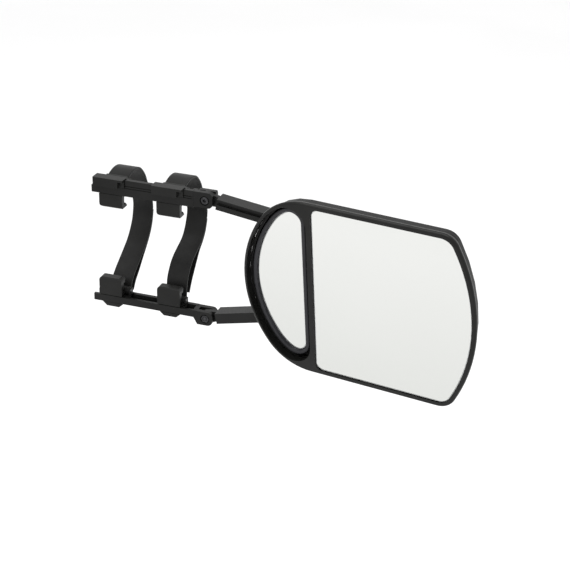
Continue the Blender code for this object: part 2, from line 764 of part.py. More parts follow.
def seat(name, centre, inner, outer, opening, parent, finish, segments=ROUND):
    """A spherical liner round a ball, open at the back by the opening's half-angle."""
    sweep = math.pi - opening
    profile = meridian(outer, centre[1], sweep, 6) + meridian(inner, centre[1], sweep, 6)[::-1]
    return turned(name, profile, parent, finish, (centre[0], centre[2]), segments)


def ball_profile(radius, depth, neck):
    """A ball about Y depth whose back runs into a neck of the given radius."""
    return meridian(radius, depth, math.pi - math.asin(neck / radius), 6)


def sphere(name, centre, radius, segments=ROUND):
    profile = [*meridian(radius, centre[1], math.pi, 8)[:-1], (0.0, centre[1] + radius)]
    return turned(name, profile, centre=(centre[0], centre[2]), segments=segments)


def cap_screw_places():
    turns = [math.radians(45 + 90 * step) for step in range(4)]
    return [(CAP_SCREW_CIRCLE * math.cos(turn), CAP_SCREW_CIRCLE * math.sin(turn)) for turn in turns]


def rear_housing(parent, finish):
    """The head's back shell, with the socket boss for the head ball and the post for the small one."""
    start = BEZEL_DEPTH + GAP
    rings = [(start + depth, inset) for depth, inset in SHELL]
    made = dome("rear_housing", rings, parent, finish)
    hollow = [(start - 0.002, SHELL[0][1] + SHELL_WALL)]
    hollow += [(start + depth - SHELL_WALL, inset + SHELL_WALL) for depth, inset in SHELL[1:]]
    hollow[1] = (start + SHELL[1][0] - 0.001, SHELL[1][1] + SHELL_WALL)
    cut(made, dome("housing_hollow", hollow))
    back = start + SHELL[-1][0]
    boss = turned("housing_boss", rod(SOCKET_BOSS, 0.0125, back - 0.0002))
    join(made, boss)
    clearance = BALL_RADIUS + BALL_GAP + SEAT_THICKNESS + BALL_GAP
    cut(made, sphere("housing_socket", (0, BALL_DEPTH, 0), clearance))
    for number, place in enumerate(cap_screw_places(), 1):
        hole = rod(CAP_SCREW_SHANK + 0.0003, 0.022, 0.05)
        cut(made, turned(f"housing_screw_hole_{number}", hole, centre=place, segments=12))
    post = rod(SPOT_POST_RADIUS + 0.0003, 0.02, 0.05)
    cut(made, turned("housing_post_hole", post, centre=(CARRIER_X, 0), segments=16))
    return made


def front_bezel(parent, finish):
    """The front frame with the main opening, the blind-spot well and the rebate behind the main lip."""
    made = dome("front_bezel", BEZEL_EDGE, parent, finish)
    cut(made, prism("bezel_main_opening", main_outline(), "Y", -0.01, 0.02))
    cut(made, prism("bezel_well", well_outline(), "Y", -0.01, 0.02))
    cut(made, prism("bezel_rebate", main_outline(GLASS_LAP + GAP), "Y", LIP_DEPTH, 0.02))
    return made


def build_head(frame, finishes):
    plastic, glass, steel, grey = (finishes[key] for key in ("housing", "glass", "steel", "liner"))
    rear_housing(frame, plastic)
    front_bezel(frame, finishes["bezel"])
    glass_front = LIP_DEPTH + GAP
    glass_back = glass_front + GLASS_THICKNESS
    prism("main_glass", main_outline(GLASS_LAP), "Y", glass_front, glass_back, frame, glass)
    backing_front = glass_back + GAP
    backing_back = backing_front + BACKING_THICKNESS
    prism("main_glass_backing", main_outline(GLASS_LAP), "Y", backing_front, backing_back, frame, grey)
    back = BEZEL_DEPTH + GAP + SHELL[-1][0]
    cap = turned("socket_cap", rod(SOCKET_BOSS, back + GAP, back + GAP + CAP_THICKNESS), frame, plastic)
    clearance = BALL_RADIUS + BALL_GAP + SEAT_THICKNESS + BALL_GAP
    cut(cap, sphere("cap_socket", (0, BALL_DEPTH, 0), clearance))
    mouth = clearance * math.sin(SOCKET_OPENING)
    cut(cap, turned("cap_mouth", [(0.0, 0.02), (mouth * 0.9, 0.02), (mouth * 1.25, 0.05), (0.0, 0.05)]))
    sizes = (CAP_SCREW_HEAD, 0.0016, CAP_SCREW_SHANK, 0.0009, 0.0008)
    for number, place in enumerate(cap_screw_places(), 1):
        hole = rod(CAP_SCREW_SHANK + 0.0003, 0.02, 0.05)
        cut(cap, turned(f"cap_hole_{number}", hole, centre=place, segments=12))
        start = back + 2 * GAP + CAP_THICKNESS + 0.0016
        screw(f"socket_cap_screw_{number}", frame, steel, place, start, -1, 0.0105, sizes)
    post = ball_profile(SPOT_BALL_RADIUS, SPOT_BALL_DEPTH, SPOT_POST_RADIUS)
    post.append((SPOT_POST_RADIUS, back + GAP))
    post += [(0.0045, back + GAP), (0.0045, back + 0.0022), (0.0, back + 0.0022)]
    turned("blind_spot_ball_stud", post, frame, steel, (CARRIER_X, 0), 16)


def build_blind_spot(seat_axis, carrier_axis, finishes):
    """The blind-spot mirror: its liner on one axis, its carrier and glass on the other. Both axes meet
    in the small ball's centre, so shapes are shifted there from the head's frame."""
    centre = (0.0, 0.0, 0.0)
    inner = SPOT_BALL_RADIUS + BALL_GAP
    outer = inner + SPOT_SEAT_THICKNESS
    seat("blind_spot_ball_seat", centre, inner, outer, math.radians(70), seat_axis, finishes["liner"], 16)

    def local(outline):
        return [(x - CARRIER_X, z) for x, z in outline]

    front = CARRIER_FRONT - SPOT_BALL_DEPTH
    back = CARRIER_BACK - SPOT_BALL_DEPTH
    glass_front = SPOT_GLASS_FRONT - SPOT_BALL_DEPTH
    glass_back = glass_front + SPOT_GLASS_THICKNESS
    outline = local(well_outline(CARRIER_MARGIN))
    carrier = prism("blind_spot_carrier", outline, "Y", front, back, carrier_axis, finishes["carrier"])
    pocket = local(well_outline(CARRIER_MARGIN + CARRIER_RIM))
    cut(carrier, prism("carrier_pocket", pocket, "Y", front - 0.01, glass_back + GAP))
    cup = turned("carrier_cup", rod(SPOT_CUP_RADIUS, back - 0.0006, SPOT_CUP_END - SPOT_BALL_DEPTH))
    join(carrier, cup)
    cut(carrier, sphere("carrier_socket", centre, outer + BALL_GAP, 16))
    pane = local(well_outline(CARRIER_MARGIN + CARRIER_RIM + GAP))
    prism("blind_spot_glass", pane, "Y", glass_front, glass_back, carrier_axis, finishes["glass"])


def bracket(parent, finish, eyes, hub):
    """The head bracket: one plate-shaped casting with a clevis at each arm and a hub for the ball stud.
    Drawn about the upper arm's far pivot. eyes are the two pivots and hub the stud's centre, as (X, Z)."""
    (ax, az), (bx, bz) = eyes
    hx, hz = hub
    outline = arc((ax, az), BRACKET_EYE, math.radians(80), math.radians(190), 5)
    outline += arc((bx, bz), BRACKET_EYE, math.radians(170), math.radians(280), 5)
    outline += arc((hx, hz), BRACKET_HUB, math.radians(-60), math.radians(70), 8)
    made = prism("head_bracket", outline, "Y", 0.0, RAIL_DEPTH, parent, finish)
    for number, eye in enumerate(eyes, 1):
        cut(made, *clevis_cutters(f"bracket_{number}", eye, -0.02, 0.0096, 0.0126))
    cut(made, turned("bracket_stud_hole", rod(BALL_SHANK + 0.0003, -0.01, 0.03), centre=hub, segments=16))
    return made


def ball_stud(parent, finish, hub, depth):
    """The head's ball stud: ball, neck, flange and threaded shank. depth is the ball centre's Y."""
    profile = ball_profile(BALL_RADIUS, depth, BALL_NECK)
    profile += [
        (BALL_NECK, -0.0050),
        (BALL_FLANGE, -0.0050),
        (BALL_FLANGE, -GAP),
        (BALL_SHANK, -GAP),
        (BALL_SHANK, RAIL_DEPTH + 0.0075),
        (0.0, RAIL_DEPTH + 0.0075),
    ]
    turned("ball_stud", profile, parent, finish, hub)
    near, far = RAIL_DEPTH + GAP, RAIL_DEPTH + 0.006
    nut = prism("ball_stud_nut", hexagon(0.0075, hub), "Y", near, far, parent, finish)
    cut(nut, turned("ball_stud_nut_bore", rod(BALL_SHANK + 0.0003, 0.0, 0.05), centre=hub, segments=16))


# ---------------------------------------------------------------- assembly


def main():
    clear_scene()
    finishes = {
        "rail": material("rail_plastic", (0.020, 0.020, 0.021), 0.42),
        "hook": material("hook_plastic", (0.024, 0.024, 0.025), 0.45),
        "arm": material("arm_plastic", (0.022, 0.022, 0.023), 0.40),
        "strap": material("strap_rubber", (0.016, 0.016, 0.017), 0.60),
        "housing": material("housing_plastic", (0.020, 0.020, 0.021), 0.45),
        "bezel": material("bezel_plastic", (0.024, 0.024, 0.025), 0.38),
        "carrier": material("carrier_plastic", (0.045, 0.045, 0.050), 0.35),
        "liner": material("liner_plastic", (0.10, 0.10, 0.10), 0.55),
        "glass": material("mirror_glass", (0.86, 0.88, 0.87), 0.03, 1.0),
        "steel": material("black_steel", (0.035, 0.035, 0.036), 0.38, 0.8),
    }

    upper_axis = empty("upper_rail_axis", UPPER_PIVOT)
    trim_upper_rail(rail("upper_rail", UPPER_RAIL, upper_knuckle(), upper_axis, finishes["rail"]))
    pivot_fasteners("upper_arm_pivot", upper_axis, finishes["steel"])

    turned_over = Matrix.Rotation(math.pi, 3, "X")
    lower_axis = empty("lower_rail_axis", LOWER_PIVOT)
    lower_place = (0.0, RAIL_DEPTH, 0.0)
    lower_frame = empty("lower_rail_frame", lower_place, lower_axis, turned_over)
    rail("lower_rail", LOWER_RAIL, lower_knuckle(), lower_frame, finishes["rail"])
    pivot_fasteners("lower_arm_pivot", lower_frame, finishes["steel"])

    upper_arm_axis = empty("upper_arm_axis", UPPER_PIVOT, None, Matrix.Rotation(UPPER_ARM_SLOPE, 3, "Y"))
    arm("upper_arm", upper_arm_axis, finishes["arm"], SCREW_HOLE)
    lower_arm_axis = empty("lower_arm_axis", LOWER_PIVOT, None, Matrix.Rotation(-LOWER_ARM_SLOPE, 3, "Y"))
    lower_arm_frame = empty("lower_arm_frame", lower_place, lower_arm_axis, turned_over)
    arm("lower_arm", lower_arm_frame, finishes["arm"], SHANK_RADIUS + FREE_PIVOT_CLEARANCE)

    strap_routes = (STRAP_TOP + STRAP_1_BOTTOM, STRAP_TOP + STRAP_2_BOTTOM)
    for index, number in enumerate((1, 2)):
        x = HOOK_X[index]
        upper = empty(f"upper_hook_{number}_axis", (UPPER_PIVOT[0] + x, *UPPER_PIVOT[1:]))
        upper_slider(f"upper_slider_{number}", SLIDER_SHIFT[index], upper, finishes["hook"])
        strap_pin(f"upper_strap_pin_{number}", UPPER_PIN, upper, finishes["steel"])
        upper_jaw(f"upper_jaw_{number}", UPPER_JAW_SHIFT[index], upper, finishes["hook"])
        strap(f"strap_{number}", strap_routes[index], upper, finishes["strap"])
        lower = empty(f"lower_hook_{number}_axis", (LOWER_PIVOT[0] + x, *LOWER_PIVOT[1:]))
        lower_slider(f"lower_slider_{number}", LOWER_BASE_SHIFT[index], lower, finishes["hook"])
        strap_pin(f"lower_strap_pin_{number}", LOWER_PIN, lower, finishes["steel"])
        lower_jaw(f"lower_jaw_{number}", LOWER_JAW_SHIFT[index], lower, finishes["hook"])

    far_x = ARM_LENGTH * math.cos(UPPER_ARM_SLOPE)
    far_z = -ARM_LENGTH * math.sin(UPPER_ARM_SLOPE)
    low_x = ARM_LENGTH * math.cos(LOWER_ARM_SLOPE)
    low_z = ARM_LENGTH * math.sin(LOWER_ARM_SLOPE) - RAIL_SPACING
    eyes = ((0.0, 0.0), (low_x - far_x, low_z - far_z))
    bracket_axis = empty("bracket_axis", (UPPER_PIVOT[0] + far_x, UPPER_PIVOT[1], UPPER_PIVOT[2] + far_z))
    middle_z = -RAIL_SPACING / 2
    hub = (BALL_CENTRE[0] - far_x, BALL_CENTRE[2] + middle_z - far_z)
    bracket(bracket_axis, finishes["arm"], eyes, hub)
    pivot_fasteners("bracket_upper_pivot", bracket_axis, finishes["steel"], eyes[0])
    pivot_fasteners("bracket_lower_pivot", bracket_axis, finishes["steel"], eyes[1])
    ball_stud(bracket_axis, finishes["steel"], hub, BALL_CENTRE[1])

    ball_place = (
        UPPER_PIVOT[0] + BALL_CENTRE[0],
        UPPER_PIVOT[1] + BALL_CENTRE[1],
        UPPER_PIVOT[2] + middle_z + BALL_CENTRE[2],
    )
    facing = Matrix.Rotation(-HEAD_YAW, 3, "Z") @ Matrix.Rotation(HEAD_TILT, 3, "X")
    swivel = empty("head_swivel_axis", ball_place, None, facing)
    inner = BALL_RADIUS + BALL_GAP
    outer = inner + SEAT_THICKNESS
    seat("head_ball_seat", (0, 0, 0), inner, outer, SOCKET_OPENING, swivel, finishes["liner"])
    head_axis = empty("head_axis", ball_place, None, facing)
    head_frame = empty("head_frame", (0.0, -BALL_DEPTH, 0.0), head_axis)
    build_head(head_frame, finishes)
    spot_place = (CARRIER_X, SPOT_BALL_DEPTH, 0.0)
    spot_swivel = empty("blind_spot_swivel_axis", spot_place, head_frame)
    spot_axis = empty("blind_spot_axis", spot_place, head_frame)
    build_blind_spot(spot_swivel, spot_axis, finishes)


main()
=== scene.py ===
"""The looks of the clip-on towing mirror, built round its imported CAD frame."""

import json
import math

import bmesh
import bpy
from mathutils import Matrix, Vector


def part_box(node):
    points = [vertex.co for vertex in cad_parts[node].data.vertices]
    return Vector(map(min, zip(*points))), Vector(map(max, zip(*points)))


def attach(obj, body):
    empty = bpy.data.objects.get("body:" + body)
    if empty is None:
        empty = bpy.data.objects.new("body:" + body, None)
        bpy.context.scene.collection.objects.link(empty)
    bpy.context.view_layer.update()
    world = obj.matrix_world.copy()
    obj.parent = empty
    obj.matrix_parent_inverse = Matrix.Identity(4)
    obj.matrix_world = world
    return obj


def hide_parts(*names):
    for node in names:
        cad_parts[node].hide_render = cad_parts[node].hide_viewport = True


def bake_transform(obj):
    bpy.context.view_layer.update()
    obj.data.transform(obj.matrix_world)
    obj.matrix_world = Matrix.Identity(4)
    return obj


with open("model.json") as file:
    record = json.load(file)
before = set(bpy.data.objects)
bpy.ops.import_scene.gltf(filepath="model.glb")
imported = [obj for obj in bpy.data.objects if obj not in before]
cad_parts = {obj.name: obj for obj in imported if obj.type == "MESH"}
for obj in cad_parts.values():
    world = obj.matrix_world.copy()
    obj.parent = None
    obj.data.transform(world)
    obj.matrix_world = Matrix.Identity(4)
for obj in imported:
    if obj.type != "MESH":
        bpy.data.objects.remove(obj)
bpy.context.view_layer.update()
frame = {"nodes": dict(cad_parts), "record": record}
BODY_OF = {
    node: body for body, nodes in frame["record"]["behaviour"]["bodies"].items() for node in nodes
}
SLOT_OF = {row["node"]: row["material_slot"] for row in frame["record"]["subparts"]}
JOINTS = {row["name"]: row for row in frame["record"]["behaviour"]["joints"]}
UPPER_PIVOT = Vector(JOINTS["arm_spread"]["pos_m"])
RAIL_SPACING = 0.139
WELD = 0.000005


def placed(name, data):
    """A new object in the scene that holds this mesh, light or camera."""
    made = bpy.data.objects.new(name, data)
    bpy.context.scene.collection.objects.link(made)
    return made


def mesh_data(name, mesh):
    """Turns a bmesh into mesh data and frees it."""
    data = bpy.data.meshes.new(name)
    mesh.to_mesh(data)
    mesh.free()
    return data


def weighted_normals(made):
    smooth = made.modifiers.new("normals", "WEIGHTED_NORMAL")
    smooth.keep_sharp = False


def bevelled(made, width, segments, angle):
    """Rounds off the edges sharper than angle, in degrees."""
    bevel = made.modifiers.new("rounding", "BEVEL")
    bevel.width = width
    bevel.segments = segments
    bevel.limit_method = "ANGLE"
    bevel.angle_limit = math.radians(angle)
    made.data.shade_smooth()
    weighted_normals(made)


# ---------------------------------------------------------------- materials


class Nodes:
    """A material's node tree, with short calls for adding and joining nodes."""

    def __init__(self, name):
        self.material = bpy.data.materials.new(name)
        self.material.use_nodes = True
        self.tree = self.material.node_tree
        self.shader = self.tree.nodes["Principled BSDF"]
        self.place = self.add("ShaderNodeTexCoord").outputs["Object"]

    def add(self, kind, **values):
        node = self.tree.nodes.new(kind)
        for key, value in values.items():
            if key in node.inputs:
                node.inputs[key].default_value = value
            else:
                setattr(node, key, value)
        return node

    def link(self, source, target):
        self.tree.links.new(source, target)

    def noise(self, scale, detail=3.0, roughness=0.55, stretch=None):
        node = self.add("ShaderNodeTexNoise", Scale=scale, Detail=detail, Roughness=roughness)
        place = self.place
        if stretch is not None:
            mapping = self.add("ShaderNodeMapping")
            mapping.inputs["Scale"].default_value = stretch
            self.link(place, mapping.inputs["Vector"])
            place = mapping.outputs["Vector"]
        self.link(place, node.inputs["Vector"])
        return node.outputs["Fac"]

    def ramp(self, source, stops):
        node = self.add("ShaderNodeValToRGB")
        points = node.color_ramp.elements
        while len(points) < len(stops):
            points.new(0.5)
        for point, (position, colour) in zip(points, stops):
            point.position = position
            point.color = (*colour, 1.0)
        self.link(source, node.inputs["Fac"])
        return node.outputs["Color"]

    def spread(self, source, low, high):
        node = self.add("ShaderNodeMapRange")
        node.inputs["To Min"].default_value = low
        node.inputs["To Max"].default_value = high
        self.link(source, node.inputs["Value"])
        return node.outputs["Result"]

    def bump(self, source, height, strength=1.0, below=None):
        node = self.add("ShaderNodeBump", Strength=strength, Distance=height)
        self.link(source, node.inputs["Height"])
        if below is not None:
            self.link(below, node.inputs["Normal"])
        return node.outputs["Normal"]


def moulded(name, dark, pale, rough, grain=0.00006, grain_size=1500.0):
    """Black moulded plastic with fine spark grain, faint flow marks and uneven gloss."""
    made = Nodes(name)
    colour = made.ramp(made.noise(28.0, 4.0), ((0.3, dark), (0.7, pale)))
    made.link(colour, made.shader.inputs["Base Color"])
    gloss = made.spread(made.noise(90.0, 5.0, 0.65), rough - 0.06, rough + 0.07)
    made.link(gloss, made.shader.inputs["Roughness"])
    coarse = made.bump(made.noise(140.0, 2.0), grain * 0.9, 0.6)
    made.link(made.bump(made.noise(grain_size, 2.0), grain, 0.8, coarse), made.shader.inputs["Normal"])
    made.shader.inputs["Specular IOR Level"].default_value = 0.17
    return made.material


def rubber(name):
    """Matt strap rubber: soft bloom, tiny pits and faint lengthwise drawing lines."""
    made = Nodes(name)
    dark, pale = (0.0045, 0.0045, 0.0042), (0.0120, 0.0120, 0.0115)
    colour = made.ramp(made.noise(36.0, 5.0), ((0.3, dark), (0.75, pale)))
    made.link(colour, made.shader.inputs["Base Color"])
    made.link(made.spread(made.noise(120.0, 4.0), 0.42, 0.58), made.shader.inputs["Roughness"])
    lines = made.bump(made.noise(60.0, 2.0, 0.5, (14.0, 1.0, 1.0)), 0.00012, 0.5)
    made.link(made.bump(made.noise(900.0, 3.0), 0.00007, 0.7, lines), made.shader.inputs["Normal"])
    made.shader.inputs["Specular IOR Level"].default_value = 0.15
    made.shader.inputs["Sheen Weight"].default_value = 0.03
    made.shader.inputs["Sheen Roughness"].default_value = 0.5
    return made.material


# Heights in Z over which the glass's painted reflection runs from its darker foot to its lighter top
REFLECTION_FADE_FOOT, REFLECTION_FADE_TOP = -0.15, 0.05


def mirror_glass(name, low, high):
    """Silvered glass with a painted reflection, darker towards its foot and lighter towards its top, with
    a faint green tint and the faintest haze.
    """
    made = Nodes(name)
    # Painted reflection: the colour runs darker towards the glass's foot and lighter towards its top,
    # with a little random tone mixed in
    parts = made.add("ShaderNodeSeparateXYZ")
    made.link(made.place, parts.inputs["Vector"])
    height = made.add("ShaderNodeMapRange")
    height.inputs["From Min"].default_value = REFLECTION_FADE_FOOT
    height.inputs["From Max"].default_value = REFLECTION_FADE_TOP
    made.link(parts.outputs["Z"], height.inputs["Value"])
    reflection_and_tone = made.add("ShaderNodeMath", operation="MULTIPLY_ADD")
    made.link(made.noise(9.0, 2.0), reflection_and_tone.inputs[0])
    reflection_and_tone.inputs[1].default_value = 0.12
    made.link(height.outputs["Result"], reflection_and_tone.inputs[2])
    colour = made.ramp(reflection_and_tone.outputs["Value"], ((0.1, low), (0.9, high)))
    made.link(colour, made.shader.inputs["Base Color"])
    made.link(made.spread(made.noise(40.0, 3.0), 0.02, 0.05), made.shader.inputs["Roughness"])
    made.shader.inputs["Metallic"].default_value = 1.0
    return made.material


def black_steel(name):
    """Black oxide fasteners with worn, brighter patches and fine tooling marks."""
    made = Nodes(name)
    worn = made.noise(260.0, 4.0)
    colour = made.ramp(worn, ((0.35, (0.022, 0.022, 0.023)), (0.8, (0.075, 0.075, 0.078))))
    made.link(colour, made.shader.inputs["Base Color"])
    made.link(made.spread(worn, 0.26, 0.44), made.shader.inputs["Roughness"])
    marks = made.bump(made.noise(1300.0, 2.0, 0.5, (1.0, 6.0, 1.0)), 0.00004, 0.7)
    made.link(marks, made.shader.inputs["Normal"])
    made.shader.inputs["Metallic"].default_value = 0.85
    return made.material


def dull_liner(name):
    """Dull grey plastic of the ball liners and the glass's backing."""
    made = Nodes(name)
    colour = made.ramp(made.noise(80.0, 4.0), ((0.3, (0.085, 0.085, 0.088)), (0.7, (0.12, 0.12, 0.12))))
    made.link(colour, made.shader.inputs["Base Color"])
    made.link(made.spread(made.noise(200.0, 3.0), 0.45, 0.6), made.shader.inputs["Roughness"])
    made.link(made.bump(made.noise(1100.0, 2.0), 0.00005, 0.7), made.shader.inputs["Normal"])
    return made.material


def ground_edge(name):
    """The pane's ground bevel: pale, frosted glass over silver."""
    made = Nodes(name)
    colour = made.ramp(made.noise(220.0, 3.0), ((0.3, (0.78, 0.80, 0.79)), (0.7, (0.92, 0.93, 0.92))))
    made.link(colour, made.shader.inputs["Base Color"])
    made.link(made.spread(made.noise(400.0, 3.0), 0.22, 0.34), made.shader.inputs["Roughness"])
    made.link(made.bump(made.noise(900.0, 2.0), 0.00003, 0.5), made.shader.inputs["Normal"])
    return made.material


FINISH = {
    "rail_plastic": moulded("rail nylon", (0.0050, 0.0050, 0.0047), (0.0095, 0.0095, 0.0090), 0.32),
    "hook_plastic": moulded("hook nylon", (0.0058, 0.0058, 0.0054), (0.0110, 0.0110, 0.0104), 0.34),
    "arm_plastic": moulded("arm nylon", (0.0060, 0.0060, 0.0056), (0.0110, 0.0110, 0.0105), 0.30),
    "strap_rubber": rubber("strap rubber"),
    "housing_plastic": moulded(
        "housing plastic", (0.0060, 0.0060, 0.0057), (0.0100, 0.0100, 0.0096), 0.42, 0.00008, 1100.0
    ),
    "bezel_plastic": moulded("bezel plastic", (0.0062, 0.0062, 0.0058), (0.0110, 0.0110, 0.0104), 0.30),
    "carrier_plastic": moulded("carrier plastic", (0.020, 0.020, 0.022), (0.032, 0.032, 0.036), 0.34),
    "liner_plastic": dull_liner("liner plastic"),
    # The mirror glass's two colours are the ends of its painted reflection, darker at the foot and
    # lighter at the top
    "mirror_glass": mirror_glass("mirror glass", (0.600, 0.608, 0.588), (0.680, 0.685, 0.668)),
    "black_steel": black_steel("black oxide steel"),
    "ground_edge": ground_edge("ground glass edge"),
}


# ---------------------------------------------------------------- pieces carried over from the frame


def skin_area(mesh):
    """The area of a mesh as it is drawn, in triangles."""
    copy = mesh.copy()
    bmesh.ops.triangulate(copy, faces=copy.faces)
    area = sum(face.calc_area() for face in copy.faces)
    copy.free()
    return area


SAME_SKIN = 0.0005
FLAT_WITHIN = math.radians(0.6)


def cleaned(node):
    """A CAD node's mesh with its flat faces made whole, where that draws the same skin."""
    mesh = bmesh.new()
    mesh.from_mesh(frame["nodes"][node].data)
    bmesh.ops.remove_doubles(mesh, verts=mesh.verts, dist=WELD)
    whole = mesh.copy()
    bmesh.ops.dissolve_limit(
        whole, angle_limit=FLAT_WITHIN, verts=whole.verts, edges=whole.edges, delimit=set()
    )
    if abs(skin_area(whole) - skin_area(mesh)) < SAME_SKIN * skin_area(mesh):
        mesh.free()
        return whole
    whole.free()
    return mesh


def softened(node, width):
    """A CAD node's shape with its edges rounded off, standing for that node."""
    made = placed(node + "_visual", mesh_data(node + "_shape", cleaned(node)))
    bevelled(made, width, segments=2, angle=25.0)
    worn_by(made, node)


def worn_by(made, node):
    """Gives a piece its node's finish and body and hides what it stands for."""
    slot = SLOT_OF[node]
    if not made.data.materials:
        made.data.materials.append(FINISH[slot])
    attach(made, BODY_OF[node])
    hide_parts(node)


ROUNDING = {
    "rail_plastic": 0.0005,
    "hook_plastic": 0.0006,
    "arm_plastic": 0.0007,
    "housing_plastic": 0.0008,
}
LEAST_ROUNDING = 0.0003
REDRAWN = {"front_bezel", "main_glass", "blind_spot_glass", "blind_spot_carrier", "strap_1", "strap_2"}
for node in frame["nodes"]:
    if node not in REDRAWN:
        softened(node, ROUNDING.get(SLOT_OF[node], LEAST_ROUNDING))


# ---------------------------------------------------------------- mirror head, redrawn with finer curves

HALF_WIDTH, HALF_HEIGHT = 0.1263, 0.1016
LEFT_RADIUS, LEFT_CORNER = 0.1324, 0.060
RIGHT_RADIUS, RIGHT_CORNER = 0.205, 0.020
BEZEL_RIM, WELL_RIM, WELL_CORNER = 0.005, 0.0034, 0.020
DIVIDER_X, DIVIDER_WIDTH, PANE_CORNER = -0.0503, 0.0055, 0.008
# Rings of a skin as (depth behind the front face, distance in from the outline)
BEZEL_EDGE = (
    (0.0002, 0.0024), (0.0003, 0.0016), (0.0007, 0.0009), (0.0014, 0.0004),
    (0.0022, 0.00015), (0.0030, 0.00005), (0.0042, 0.0003), (0.0055, 0.0009),
    (0.0072, 0.0019), (0.0090, 0.0029), (0.0097, 0.0032),
)
CARRIER_RINGS = (
    (0.0131, 0.0042), (0.0080, 0.0042), (0.0074, 0.0044), (0.0071, 0.0049), (0.0070, 0.0056),
    (0.0070, 0.0076), (0.0072, 0.0081), (0.0077, 0.0084), (0.0122, 0.0085),
)
MAIN_GLASS_RINGS = ((0.0034, 0.0002), (0.0026, 0.0002), (0.0021, 0.0012))
SPOT_GLASS_RINGS = ((0.0118, 0.0089), (0.0108, 0.0089), (0.0101, 0.0099))
BEZEL_ROUNDING = 0.0007
CUTTER_FRONT, CUTTER_BACK = -0.01, 0.02
REBATE_DEPTH, REBATE_MARGIN = 0.0016, 0.0012
BALL_DEPTH = 0.030
STEPS = 10
SAME_POINT = 0.00001


def arc(centre, radius, start, end, steps):
    """Points on an arc from one angle to the other, both ends included."""
    turn = [start + (end - start) * step / steps for step in range(steps + 1)]
    return [(centre[0] + radius * math.cos(t), centre[1] + radius * math.sin(t)) for t in turn]


def distinct(points):
    """The points without repeats of the one before, the last and first included."""
    kept = []
    for point in points:
        if not kept or math.dist(point, kept[-1]) > SAME_POINT:
            kept.append(point)
    if math.dist(kept[0], kept[-1]) < SAME_POINT:
        kept.pop()
    return kept


def right_side(inset):
    """The head's right end from its lower corner round to its upper corner."""
    centre, corner_z = HALF_WIDTH - RIGHT_RADIUS, HALF_HEIGHT - RIGHT_CORNER
    reach = RIGHT_RADIUS - RIGHT_CORNER
    corner_x = centre + math.sqrt(reach**2 - corner_z**2)
    turn = math.asin(corner_z / reach)
    points = arc((corner_x, -corner_z), RIGHT_CORNER - inset, -math.pi / 2, -turn, STEPS)
    points += arc((centre, 0), RIGHT_RADIUS - inset, -turn, turn, 2 * STEPS)
    return points + arc((corner_x, corner_z), RIGHT_CORNER - inset, turn, math.pi / 2, STEPS)


def left_centres():
    """The left end's centre, its corners' centre and the angle at which they meet."""
    centre, corner_z = LEFT_RADIUS - HALF_WIDTH, HALF_HEIGHT - LEFT_CORNER
    reach = LEFT_RADIUS - LEFT_CORNER
    return centre, centre - math.sqrt(reach**2 - corner_z**2), corner_z, math.asin(corner_z / reach)


def head_outline(inset):
    """The head's outline from the front, drawn in by inset."""
    centre, corner_x, corner_z, turn = left_centres()
    points = right_side(inset)
    points += arc((corner_x, corner_z), LEFT_CORNER - inset, math.pi / 2, math.pi - turn, STEPS)
    points += arc((centre, 0), LEFT_RADIUS - inset, math.pi - turn, math.pi + turn, 2 * STEPS)
    points += arc((corner_x, -corner_z), LEFT_CORNER - inset, math.pi + turn, 1.5 * math.pi, STEPS)
    return distinct(points)


def pane_outline(inset):
    """The main opening, drawn in by inset."""
    left = DIVIDER_X + DIVIDER_WIDTH / 2 + inset
    height, corner = HALF_HEIGHT - BEZEL_RIM - inset, PANE_CORNER - inset
    points = right_side(BEZEL_RIM + inset)
    points += arc((left + corner, height - corner), corner, math.pi / 2, math.pi, STEPS)
    points += arc((left + corner, corner - height), corner, math.pi, 1.5 * math.pi, STEPS)
    return distinct(points)


def well_outline(inset):
    """The D-shaped well of the blind-spot mirror, drawn in by inset."""
    centre, corner_x, corner_z, turn = left_centres()
    corner, shrink = WELL_CORNER - inset, WELL_RIM + inset
    near_x = DIVIDER_X - DIVIDER_WIDTH / 2 - WELL_CORNER
    near_z = corner_z + math.sqrt((LEFT_CORNER - shrink - corner) ** 2 - (near_x - corner_x) ** 2)
    meet = math.atan2(near_z - corner_z, near_x - corner_x)
    points = arc((near_x, near_z), corner, 0, meet, STEPS)
    points += arc((corner_x, corner_z), LEFT_CORNER - shrink, meet, math.pi - turn, STEPS)
    points += arc((centre, 0), LEFT_RADIUS - shrink, math.pi - turn, math.pi + turn, 2 * STEPS)
    points += arc((corner_x, -corner_z), LEFT_CORNER - shrink, math.pi + turn, 2 * math.pi - meet, STEPS)
    points += arc((near_x, -near_z), corner, 2 * math.pi - meet, 2 * math.pi, STEPS)
    return distinct(points)


def head_matrix():
    """From the head's own frame, centred on its front face, to the row frame."""
    rise = Vector(JOINTS["head_pan"]["axis"]).normalized()
    side = Vector(JOINTS["head_tilt"]["axis"]).normalized()
    back = rise.cross(side)
    place = Vector(JOINTS["head_pan"]["pos_m"]) - back * BALL_DEPTH
    turned = Matrix((side, back, rise)).transposed().to_4x4()
    return Matrix.Translation(place) @ turned


HEAD = head_matrix()


def skinned(loops):
    """A closed skin through rings of points with equal counts."""
    mesh = bmesh.new()
    rings = [[mesh.verts.new(point) for point in loop] for loop in loops]
    count = len(rings[0])
    for first, second in zip(rings, rings[1:]):
        for step in range(count):
            after = (step + 1) % count
            mesh.faces.new((first[step], first[after], second[after], second[step]))
    mesh.faces.new(rings[0])
    mesh.faces.new(rings[-1])
    bmesh.ops.recalc_face_normals(mesh, faces=mesh.faces)
    return mesh


def loft(name, outline, rings):
    """A skin through an outline's rings of (depth, inset), drawn in the head's frame."""
    mesh = skinned([[(x, depth, z) for x, z in outline(inset)] for depth, inset in rings])
    mesh.transform(HEAD)
    return placed(name, mesh_data(name, mesh))


